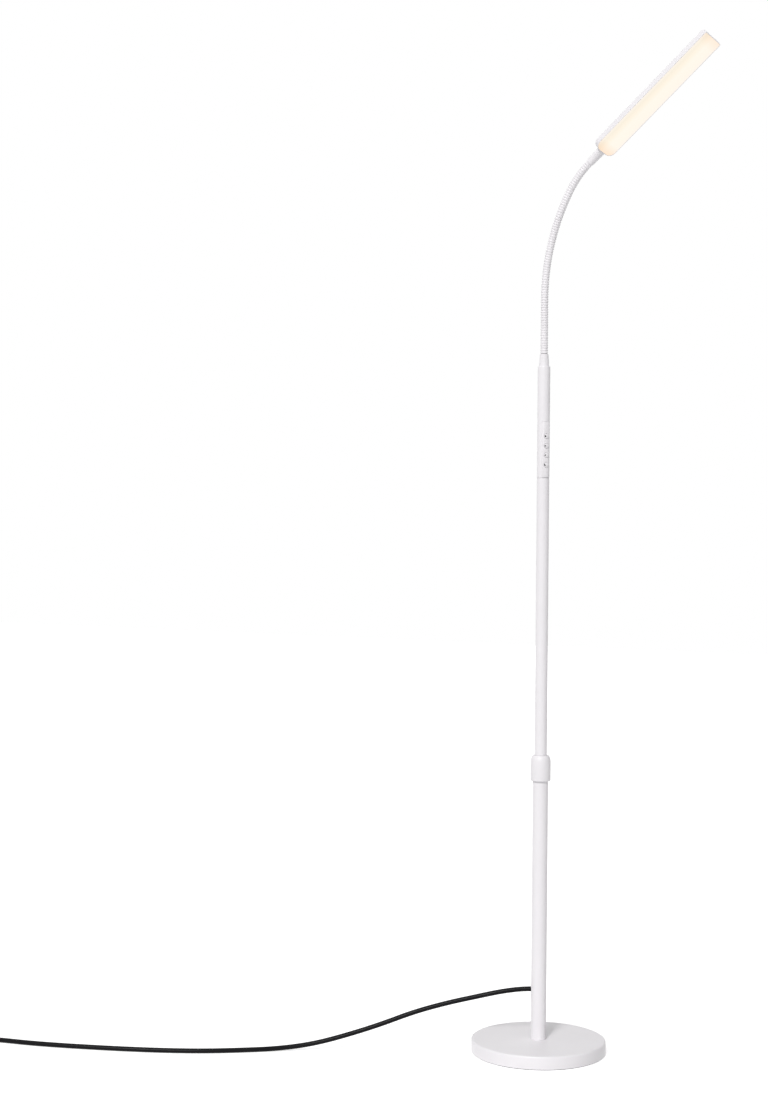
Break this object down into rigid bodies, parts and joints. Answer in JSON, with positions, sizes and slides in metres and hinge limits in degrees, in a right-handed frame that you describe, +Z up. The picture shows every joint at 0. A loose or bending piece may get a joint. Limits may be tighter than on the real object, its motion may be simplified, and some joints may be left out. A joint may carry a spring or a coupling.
{
  "type": "gooseneck reading floor lamp",
  "caption": "Floor reading lamp: round weighted base, telescopic column with a twist lock, push-button control section, ribbed gooseneck and a slim bar head.",
  "frame": {"origin": "centre of the base on the floor", "axes": "+Z up the column, +X the side that the gooseneck bends over to"},
  "size_m": [1.2098, 0.6358, 1.636],
  "materials": {
    "white_paint": "satin powder coat",
    "white_sleeve": "satin paint on the wound tube",
    "white_plastic": "satin moulded plastic",
    "black_plastic": "satin PVC",
    "iron": "as cast",
    "steel": "zinc plated",
    "nylon": "natural nylon",
    "soft_pad": "foam rubber",
    "circuit_board": "solder mask",
    "board_aluminium": "white solder mask on aluminium",
    "chip": "phosphor",
    "lens": "opal",
    "head_metal": "satin powder coat"
  },
  "bodies": {
    "stand": {"base_cover": "white_paint", "base_weight": "iron", "base_pad": "soft_pad", "base_bolt": "steel", "base_washer": "steel", "tube_plug": "steel", "lower_tube": "white_paint", "cord_grommet": "white_plastic", "collet": "nylon", "cord": "black_plastic", "cord_coil": "black_plastic", "plug": "black_plastic", "plug_pins": "steel"},
    "collar": {"lock_collar": "white_plastic"},
    "slide": {"slide_bush": "nylon"},
    "mast": {"tube_foot": "nylon", "upper_tube": "white_paint", "control_housing": "white_plastic", "control_cover": "white_plastic", "control_board": "circuit_board", "tact_switches": "black_plastic", "board_screws": "steel", "neck_ferrule": "white_paint"},
    "power_button": {"button_power": "white_plastic"},
    "dim_button": {"button_dim": "white_plastic"},
    "tone_button": {"button_tone": "white_plastic"},
    "timer_button": {"button_timer": "white_plastic"},
    "neck_1": {"neck_link_1": "white_sleeve"},
    "neck_2": {"neck_link_2": "white_sleeve"},
    "neck_3": {"neck_link_3": "white_sleeve"},
    "neck_4": {"neck_link_4": "white_sleeve"},
    "neck_5": {"neck_link_5": "white_sleeve"},
    "neck_6": {"neck_link_6": "white_sleeve"},
    "neck_7": {"neck_link_7": "white_sleeve"},
    "head": {"head_ferrule": "white_paint", "head_housing": "head_metal", "diffuser": "lens", "led_board": "board_aluminium", "led_chips": "chip", "head_screws": "steel"}
  },
  "joints": [
    {"name": "height_slide", "type": "slide", "parent": "stand", "child": "slide", "axis": [0, 0, 1], "range_m": [-0.29, 0]},
    {"name": "mast_turn", "type": "hinge", "parent": "slide", "child": "mast", "pos_m": [0, 0, 0.43], "axis": [0, 0, 1], "range_deg": [-170, 170]},
    {"name": "collar_turn", "type": "hinge", "parent": "stand", "child": "collar", "pos_m": [0, 0, 0.46], "axis": [0, 0, 1], "range_deg": [0, 90]},
    {"name": "power_press", "type": "slide", "parent": "mast", "child": "power_button", "axis": [-0.7431, 0.6691, 0], "range_m": [0, 0.0005], "stiffness_N_per_m": 1500, "springref_m": -0.0002},
    {"name": "dim_press", "type": "slide", "parent": "mast", "child": "dim_button", "axis": [-0.7431, 0.6691, 0], "range_m": [0, 0.0005], "stiffness_N_per_m": 1500, "springref_m": -0.0002},
    {"name": "tone_press", "type": "slide", "parent": "mast", "child": "tone_button", "axis": [-0.7431, 0.6691, 0], "range_m": [0, 0.0005], "stiffness_N_per_m": 1500, "springref_m": -0.0002},
    {"name": "timer_press", "type": "slide", "parent": "mast", "child": "timer_button", "axis": [-0.7431, 0.6691, 0], "range_m": [0, 0.0005], "stiffness_N_per_m": 1500, "springref_m": -0.0002},
    {"name": "neck_bend_1", "type": "hinge", "parent": "mast", "child": "neck_1", "pos_m": [0, 0, 1.1407], "axis": [0, 1, 0], "range_deg": [-10, 20]},
    {"name": "neck_sway_1", "type": "hinge", "parent": "neck_1", "child": "neck_2", "pos_m": [0, 0, 1.1867], "axis": [1, 0, 0], "range_deg": [-12, 12]},
    {"name": "neck_bend_2", "type": "hinge", "parent": "neck_2", "child": "neck_3", "pos_m": [0.00001, 0, 1.2327], "axis": [0, 1, 0], "range_deg": [-10, 20]},
    {"name": "neck_sway_2", "type": "hinge", "parent": "neck_3", "child": "neck_4", "pos_m": [0.00324, 0, 1.27856], "axis": [0.9912, 0, -0.1321], "range_deg": [-12, 12]},
    {"name": "neck_bend_3", "type": "hinge", "parent": "neck_4", "child": "neck_5", "pos_m": [0.01213, 0, 1.32366], "axis": [0, 1, 0], "range_deg": [-10, 20]},
    {"name": "neck_sway_3", "type": "hinge", "parent": "neck_5", "child": "neck_6", "pos_m": [0.02653, 0, 1.36731], "axis": [0.9283, 0, -0.3719], "range_deg": [-12, 12]},
    {"name": "neck_bend_4", "type": "hinge", "parent": "neck_6", "child": "neck_7", "pos_m": [0.0464, 0, 1.40876], "axis": [0, 1, 0], "range_deg": [-10, 20]},
    {"name": "neck_sway_4", "type": "hinge", "parent": "neck_7", "child": "head", "pos_m": [0.07544, 0, 1.44423], "axis": [0.6743, 0, -0.7385], "range_deg": [-12, 12]}
  ],
  "couplings": [
    {"joint": "neck_bend_2", "follows": "neck_bend_1", "ratio": 1},
    {"joint": "neck_sway_2", "follows": "neck_sway_1", "ratio": 1},
    {"joint": "neck_bend_3", "follows": "neck_bend_1", "ratio": 1},
    {"joint": "neck_sway_3", "follows": "neck_sway_1", "ratio": 1},
    {"joint": "neck_bend_4", "follows": "neck_bend_1", "ratio": 1},
    {"joint": "neck_sway_4", "follows": "neck_sway_1", "ratio": 1}
  ]
}
